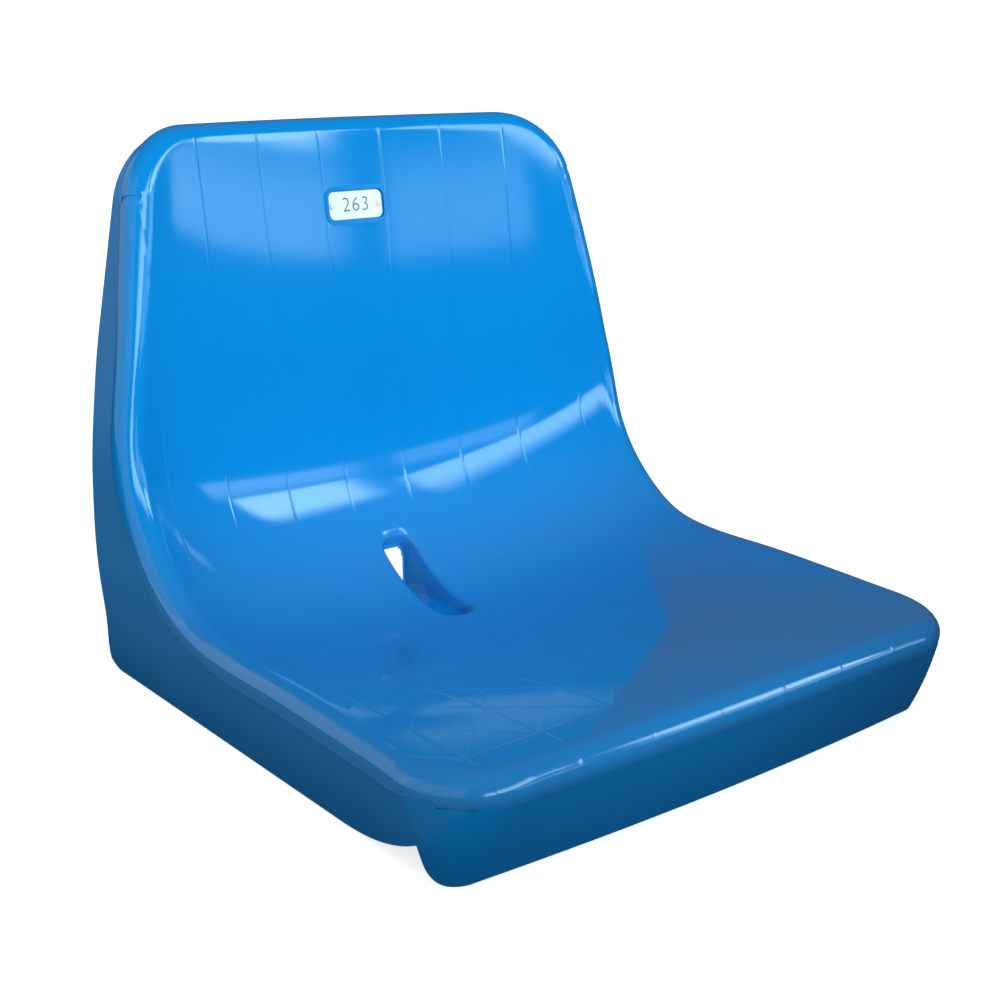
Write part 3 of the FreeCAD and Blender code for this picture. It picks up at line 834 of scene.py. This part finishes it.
def finish_of(name, dark, light, low, high, scale, height, metallic=0.0, ribs=0.0):
    material = bpy.data.materials.new(name)
    material.use_nodes = True
    tree = material.node_tree
    shader = tree.nodes["Principled BSDF"]
    group = node(tree, "ShaderNodeGroup")
    group.node_tree = grain
    group.inputs["Scale"].default_value = scale
    group.inputs["Low"].default_value = low
    group.inputs["High"].default_value = high
    mix = node(tree, "ShaderNodeMix", data_type="RGBA")
    mix.inputs[6].default_value = dark
    mix.inputs[7].default_value = light
    tree.links.new(group.outputs["Shade"], mix.inputs[0])
    tree.links.new(mix.outputs[2], shader.inputs["Base Color"])
    tree.links.new(group.outputs["Roughness"], shader.inputs["Roughness"])
    shader.inputs["Metallic"].default_value = metallic
    relief = add_bump(tree, group.outputs["Height"], height)
    if ribs:
        rib_group = node(tree, "ShaderNodeGroup")
        rib_group.node_tree = marks
        relief = add_bump(tree, rib_group.outputs["Height"], ribs, under=relief)
    tree.links.new(relief, shader.inputs["Normal"])
    return material


print("recipe ready")

# %% [markdown]
# ## The polished face
# The face is bright blue and glossy. Low in the pan the colour shifts slightly toward grey below the
# bend:
# a painted grey sheen that stands in for the paler reflection there, and partly dust and rubbing.

# %% Polished face
BLUE = (0.0012, 0.232, 0.63, 1.0)
BLUE_LIGHT = (0.0018, 0.248, 0.67, 1.0)
# painted grey sheen, partly dust: the base colour turns greyer low in the pan
SHEEN_AND_DUST_BLUE = (0.02, 0.235, 0.61, 1.0)
SHEEN_AND_DUST_STARTS, SHEEN_AND_DUST_FULL = 0.16, 0.06
polished = finish_of("polished_blue", BLUE, BLUE_LIGHT, 0.07, 0.11, 500.0, 0.000003, ribs=0.00013)
tree = polished.node_tree
sheen_and_dust_mask = node(tree, "ShaderNodeMapRange", interpolation_type="SMOOTHSTEP")
tree.links.new(axes_of(tree)[2], sheen_and_dust_mask.inputs["Value"])
sheen_and_dust_mask.inputs["From Min"].default_value = SHEEN_AND_DUST_STARTS
sheen_and_dust_mask.inputs["From Max"].default_value = SHEEN_AND_DUST_FULL
shader = tree.nodes["Principled BSDF"]
# mix toward grey below the bend, a painted sheen and partly dust
sheen_and_dust_mix = node(tree, "ShaderNodeMix", data_type="RGBA")
tree.links.new(sheen_and_dust_mask.outputs["Result"], sheen_and_dust_mix.inputs[0])
tree.links.new(shader.inputs["Base Color"].links[0].from_socket, sheen_and_dust_mix.inputs[6])
sheen_and_dust_mix.inputs[7].default_value = SHEEN_AND_DUST_BLUE
tree.links.new(sheen_and_dust_mix.outputs[2], shader.inputs["Base Color"])
print("finish:", polished.name)

# %% [markdown]
# ## Etched flanks
# The mould's side walls are etched, which leaves a fine matt texture that hides scratches. It covers
# the two sides behind the front lip. Apron and underside keep a plainer, smoother finish.

# %% Etched flanks
FLANK_SIDE = 0.17
FLANK_FRONT = -0.178
ETCH = (("Scale", 2200.0), ("Low", 0.46), ("High", 0.6))
ETCH_DEPTH = 0.00005
moulded = finish_of("moulded_blue", BLUE, BLUE_LIGHT, 0.09, 0.15, 500.0, 0.000003)
tree = moulded.node_tree
x, y, z = axes_of(tree)
to_side = math_node(tree, "GREATER_THAN", math_node(tree, "ABSOLUTE", x), FLANK_SIDE)
behind_front = math_node(tree, "GREATER_THAN", y, FLANK_FRONT)
flank = math_node(tree, "MULTIPLY", to_side, behind_front)
texture = node(tree, "ShaderNodeGroup")
texture.node_tree = grain
for socket, value in ETCH:
    texture.inputs[socket].default_value = value
shader = tree.nodes["Principled BSDF"]
smooth_rough = shader.inputs["Roughness"].links[0].from_socket
rough_mix = node(tree, "ShaderNodeMix", data_type="FLOAT")
tree.links.new(flank, rough_mix.inputs[0])
tree.links.new(smooth_rough, rough_mix.inputs[2])
tree.links.new(texture.outputs["Roughness"], rough_mix.inputs[3])
tree.links.new(rough_mix.outputs[0], shader.inputs["Roughness"])
etch = node(tree, "ShaderNodeBump")
etch.inputs["Distance"].default_value = ETCH_DEPTH
tree.links.new(flank, etch.inputs["Strength"])
tree.links.new(texture.outputs["Height"], etch.inputs["Height"])
tree.links.new(shader.inputs["Normal"].links[0].from_socket, etch.inputs["Normal"])
tree.links.new(etch.outputs[0], shader.inputs["Normal"])
give_finish(skin, polished)
give_finish(hull, moulded)
for polygon in hull.data.polygons:
    polygon.material_index = 0
print("etched behind y %.0f mm, on the two sides" % (FLANK_FRONT / MM))

# %% [markdown]
# ## Shade and join
# Faces that meet at a small angle are shaded as one smooth surface, and sharper edges stay crisp. The
# walls weigh their normals by area, so that long thin CAD faces don't bend the light. Then walls and
# skin become one piece, because the real seat is one moulding.

# %% Shade the two skins
WALL_SHARP, SKIN_SHARP = 28, 40
only(hull)
bpy.ops.object.shade_smooth_by_angle(angle=math.radians(WALL_SHARP))
bpy.ops.object.modifier_add(type="WEIGHTED_NORMAL")
hull.modifiers[-1].weight = 100
hull.modifiers[-1].keep_sharp = True
bpy.ops.object.modifier_apply(modifier=hull.modifiers[-1].name)
only(skin)
bpy.ops.object.shade_smooth_by_angle(angle=math.radians(SKIN_SHARP))
print("walls %d faces, skin %d faces" % (len(hull.data.polygons), len(skin.data.polygons)))

# %% Join into one moulding
join_into(skin, hull)
skin.name = "seat_moulding"
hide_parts("seat_shell")
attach(skin, "root")
print("moulding has %d faces" % len(skin.data.polygons))

# %% [markdown]
# ## Plate, pins and inserts
# The plate is a satin strip with dark digits, held by two pale pins. The inserts are turned steel
# with a thin zinc plating. These pieces keep their CAD shape and only get a finish.

# %% Their finishes
satin = finish_of("satin_plate", linear(222, 226, 230), linear(240, 242, 244),
                  0.28, 0.4, 1500.0, 0.000006, metallic=0.25)
nylon = finish_of("nylon_pin", linear(214, 216, 218), linear(236, 237, 238),
                  0.3, 0.45, 700.0, 0.00001)
zinc = finish_of("zinc_insert", linear(150, 152, 150), linear(196, 196, 190),
                 0.25, 0.45, 900.0, 0.00001, metallic=1.0)
FITTED = {
    "number_plate": satin, "plate_pin_left": nylon, "plate_pin_right": nylon,
    "insert_front_left": zinc, "insert_front_right": zinc,
    "insert_rear_left": zinc, "insert_rear_right": zinc,
}
for name, finish in FITTED.items():
    give_finish(frame["nodes"][name], finish)

# %% [markdown]
# ## Digits
# A seat's number is printed or stamped on its plate. Here plain digits are cut as very thin solid
# letters and laid on the plate, tilted to lean with the back at that height.

# %% Digits on the plate
SAMPLES = 2000
ON_THE_PAN = 100
DIGIT_HEIGHT, DIGIT_SPACING = 0.0155, 1.1
DIGIT_THINNER, DIGIT_THICK = -0.00022, 0.00004
ABOVE_MIDDLE = 0.00079
low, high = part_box("number_plate")
centre = (Vector(low) + Vector(high)) / 2
t_line = np.linspace(0, LENGTH, SAMPLES)
spots = face_point(t_line, np.zeros(SAMPLES))
off_height = np.abs(spots[:, 2] - PLATE_HEIGHT)
here = int(np.argmin(off_height + 1000 * (spots[:, 1] < ON_THE_PAN)))
lean_normal = Vector(face_normal(t_line[here:here + 1], np.zeros(1))[0])
bpy.ops.object.select_all(action="DESELECT")
bpy.ops.object.text_add(location=(0, 0, 0))
digits = bpy.context.object
digits.name = "plate_digits"
digits.data.body = "263"
digits.data.align_x = "CENTER"
digits.data.align_y = "CENTER"
digits.data.size = DIGIT_HEIGHT
digits.data.space_character = DIGIT_SPACING
digits.data.offset = DIGIT_THINNER
digits.data.extrude = DIGIT_THICK
digits.data.resolution_u = 6
bpy.ops.object.convert(target="MESH")
digits = bpy.context.object
level = Vector((1, 0, 0))
spin = Matrix((level, lean_normal.cross(level), lean_normal)).transposed().to_4x4()
face_out = centre + lean_normal * ABOVE_MIDDLE
digits.data.transform(Matrix.Translation(face_out) @ spin)
digits.matrix_world = Matrix.Identity(4)
ink = finish_of("digit_ink", linear(58, 74, 92), linear(80, 96, 112), 0.4, 0.5, 900.0, 0.000004)
digits.data.materials.append(ink)
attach(digits, "root")
print("digits box:", [round(v, 4) for v in digits.dimensions], "lean", lean_normal)

# %% [markdown]
# ## Floor
# The floor is white where the camera sees it and greyer for light that bounces, so that the apron
# stays dark. In the gloss it is almost black, apart from a faint strip beside the seat that gives the
# lower wall a sheen.

# %% Floor
FLOOR_GLOW = 0.77
FLOOR_PALE = (0.8, 0.8, 0.8, 1)
FLOOR_BOUNCE = (0.16, 0.16, 0.16, 1)
MIRROR_DIM = 0.025
MIRROR_STRIP = 0.1
STRIP_EDGES = ((-0.23, -0.26), (-0.42, -0.6))
bpy.ops.object.select_all(action="DESELECT")
bpy.ops.mesh.primitive_plane_add(size=60, location=(0, 0, -0.0005))
floor = bpy.context.object
floor.name = "studio_floor"
ground = bpy.data.materials.new("floor_pale")
ground.use_nodes = True
tree = ground.node_tree
seen_floor = tree.nodes["Principled BSDF"]
seen_floor.inputs["Base Color"].default_value = FLOOR_PALE
seen_floor.inputs["Roughness"].default_value = 1.0
seen_floor.inputs["Specular IOR Level"].default_value = 0.0
seen_floor.inputs["Emission Color"].default_value = (1, 1, 1, 1)
seen_floor.inputs["Emission Strength"].default_value = FLOOR_GLOW
dim_floor = node(tree, "ShaderNodeBsdfDiffuse")
dim_floor.inputs["Color"].default_value = FLOOR_BOUNCE
mirror_floor = node(tree, "ShaderNodeEmission")
x, y, z = axes_of(tree)
strip = []
for first, last in STRIP_EDGES:
    ramp = node(tree, "ShaderNodeMapRange", interpolation_type="SMOOTHSTEP")
    tree.links.new(x, ramp.inputs["Value"])
    ramp.inputs["From Min"].default_value = first
    ramp.inputs["From Max"].default_value = last
    strip.append(ramp.outputs["Result"])
beside = math_node(tree, "MULTIPLY", strip[0], math_node(tree, "SUBTRACT", 1.0, strip[1]))
veil = math_node(tree, "ADD", math_node(tree, "MULTIPLY", beside, MIRROR_STRIP), MIRROR_DIM)
tree.links.new(veil, mirror_floor.inputs["Strength"])
path = node(tree, "ShaderNodeLightPath")
bounced = node(tree, "ShaderNodeMixShader")
tree.links.new(path.outputs["Is Glossy Ray"], bounced.inputs[0])
tree.links.new(dim_floor.outputs[0], bounced.inputs[1])
tree.links.new(mirror_floor.outputs[0], bounced.inputs[2])
choose = node(tree, "ShaderNodeMixShader")
tree.links.new(path.outputs["Is Camera Ray"], choose.inputs[0])
tree.links.new(bounced.outputs[0], choose.inputs[1])
tree.links.new(seen_floor.outputs[0], choose.inputs[2])
tree.links.new(choose.outputs[0], tree.nodes["Material Output"].inputs["Surface"])
floor.data.materials.append(ground)
print("floor laid")

# %% [markdown]
# ## Directions of the room
# What the gloss mirrors is a dim room with bright windows. A ray's direction is turned into a compass
# bearing and a height in degrees, so a window is simply a range of both with soft edges.

# %% Directions of the room
BEARING_SOFT_START, BEARING_SOFT_END = 3.0, 6.0
SILL_SOFT = 1.5
DEGREES = 180 / math.pi
world = bpy.data.worlds.new("studio")
bpy.context.scene.world = world
world.use_nodes = True
sky = world.node_tree
east, north, upward = axes_of(sky, "Generated")


def mix_of(operation, *values):
    return math_node(sky, operation, *values)


bearing = mix_of("MULTIPLY", mix_of("ARCTAN2", east, north), DEGREES)
bearing = mix_of("WRAP", bearing, 360.0, 0.0)
height = mix_of("MULTIPLY", mix_of("ARCSINE", upward), DEGREES)


def edge(value, start, soft):
    ramp = node(sky, "ShaderNodeMapRange", interpolation_type="SMOOTHSTEP")
    sky.links.new(value, ramp.inputs["Value"])
    ramp.inputs["From Min"].default_value = start - soft / 2
    ramp.inputs["From Max"].default_value = start + soft / 2
    return ramp.outputs["Result"]


def between(value, start, soft_start, end, soft_end):
    before_end = mix_of("SUBTRACT", 1.0, edge(value, end, soft_end))
    return mix_of("MULTIPLY", edge(value, start, soft_start), before_end)


def pane(first, last, low, high, soft, fall):
    drop = mix_of("MULTIPLY", mix_of("SUBTRACT", bearing, first), fall)
    lift = mix_of("ADD", height, drop)
    inside = between(bearing, first, BEARING_SOFT_START, last, BEARING_SOFT_END)
    return mix_of("MULTIPLY", inside, between(lift, low, SILL_SOFT, high, soft))


print("directions ready")

# %% [markdown]
# ## Windows of the room
# Four bright windows in front give the highlights on back, bend and pan, and the dim ones stand for
# the rest of the room. Each row is first and last bearing, lowest and highest angle, softness of the
# upper edge, slope of that edge, and two strengths: one for what the gloss mirrors, one for the
# light it casts. A photographer does the same with a card that reflects but hardly lights. Windows
# in front are pale blue, like a cloudy sky, and the others are neutral.

# %% Windows of the room
ROOM = 0.08
DAYLIGHT = (0.6, 0.9, 1.0, 1)
WHITE = (1, 1, 1, 1)
FRONT_BEARINGS = (95.0, 215.0)
BEARING_FADE = 10.0
PANES = (
    (118, 145, 3, 11, 8, 0.0, 3.2, 0.9),
    (123, 143, 13, 27, 8, 0.0, 10.0, 2.7),
    (150, 172, 3, 12, 8, 0.0, 2.2, 0.65),
    (149, 203, 20, 34, 14, 0.33, 8.0, 2.15),
    (225, 300, -5, 50, 20, 0.0, 0.6, 0.55),
    (295, 348, 0, 40, 20, 0.0, 0.8, 1.1),
    (0, 75, 2, 60, 20, 0.0, 0.035, 0.12),
    (348, 360, 2, 60, 20, 0.0, 0.035, 0.12),
)
mirrored, cast = ROOM, ROOM
for *where, strong, weak in PANES:
    part = pane(*where)
    mirrored = mix_of("ADD", mix_of("MULTIPLY", part, strong), mirrored)
    cast = mix_of("ADD", mix_of("MULTIPLY", part, weak), cast)
print("panes:", len(PANES))

# %% Light of the room
path = node(sky, "ShaderNodeLightPath")
straight = mix_of("ADD", path.outputs["Is Camera Ray"], path.outputs["Is Transmission Ray"])
seen = mix_of("MINIMUM", straight, 1.0)
glow = node(sky, "ShaderNodeMix", data_type="FLOAT")
sky.links.new(path.outputs["Is Glossy Ray"], glow.inputs[0])
sky.links.new(cast, glow.inputs[2])
sky.links.new(mirrored, glow.inputs[3])
blend = node(sky, "ShaderNodeMix", data_type="FLOAT")
sky.links.new(seen, blend.inputs[0])
sky.links.new(glow.outputs[0], blend.inputs[2])
blend.inputs[3].default_value = 1.0
backdrop = sky.nodes["Background"]
start, end = FRONT_BEARINGS
neutral = mix_of("SUBTRACT", 1.0, between(bearing, start, BEARING_FADE, end, BEARING_FADE))
tint = node(sky, "ShaderNodeMix", data_type="RGBA")
sky.links.new(mix_of("MAXIMUM", seen, neutral), tint.inputs[0])
tint.inputs[6].default_value = DAYLIGHT
tint.inputs[7].default_value = WHITE
sky.links.new(tint.outputs[2], backdrop.inputs["Color"])
sky.links.new(blend.outputs[0], backdrop.inputs["Strength"])
print("room strength outside the windows:", ROOM)

# %% [markdown]
# ## Lamps
# A soft spot from the front lights the back more than the pan, and a weak, very wide lamp above fills
# the shadows. Neither shows in the gloss, because the windows already do.

# %% Lamps
KEY_POWER, KEY_CONE, KEY_EDGE, KEY_SIZE = 100.0, 28, 0.5, 0.15
KEY_PLACE, KEY_TARGET = (-0.35, -1.6, 0.62), (0.0, 0.17, 0.37)
TOP_POWER, TOP_SPREAD = 0.82, 50
TOP_PLACE = (-0.6, -1.2, 3.0)


def aim(obj, place, target):
    obj.location = place
    obj.rotation_mode = "QUATERNION"
    obj.rotation_quaternion = (Vector(target) - Vector(place)).to_track_quat("-Z", "Y")
    bpy.context.scene.collection.objects.link(obj)


key_data = bpy.data.lights.new("key", "SPOT")
key_data.energy = KEY_POWER
key_data.spot_size = math.radians(KEY_CONE)
key_data.spot_blend = KEY_EDGE
key_data.shadow_soft_size = KEY_SIZE
key = bpy.data.objects.new("key", key_data)
key.visible_glossy = False
aim(key, KEY_PLACE, KEY_TARGET)
top_data = bpy.data.lights.new("top", "SUN")
top_data.energy = TOP_POWER
top_data.angle = math.radians(TOP_SPREAD)
overhead = bpy.data.objects.new("top", top_data)
overhead.visible_glossy = False
aim(overhead, TOP_PLACE, (0, 0, 0))
print("lamps:", key.name, overhead.name)

# %% [markdown]
# ## Camera
# The camera stands to the left in front and looks down a little, about a metre from the seat. Its
# place, direction and lens were worked out from the seat's own parallel edges.

# %% Camera
AZIMUTH, ELEVATION = -38.32, 16.47
camera_data = bpy.data.cameras.new("camera")
camera = bpy.data.objects.new("camera", camera_data)
bpy.context.scene.collection.objects.link(camera)
bpy.context.scene.camera = camera
azimuth, elevation = math.radians(AZIMUTH), math.radians(ELEVATION)
flat = math.cos(elevation)
back = Vector((math.sin(azimuth) * flat, -math.cos(azimuth) * flat, math.sin(elevation)))
camera.location = (-0.6818, -0.838, 0.4658)
camera.rotation_mode = "QUATERNION"
camera.rotation_quaternion = (-back).to_track_quat("-Z", "Y")
camera_data.sensor_width = 36.0
camera_data.lens = 57.56
bpy.context.scene.view_settings.view_transform = "Standard"
print("camera at", tuple(camera.location))
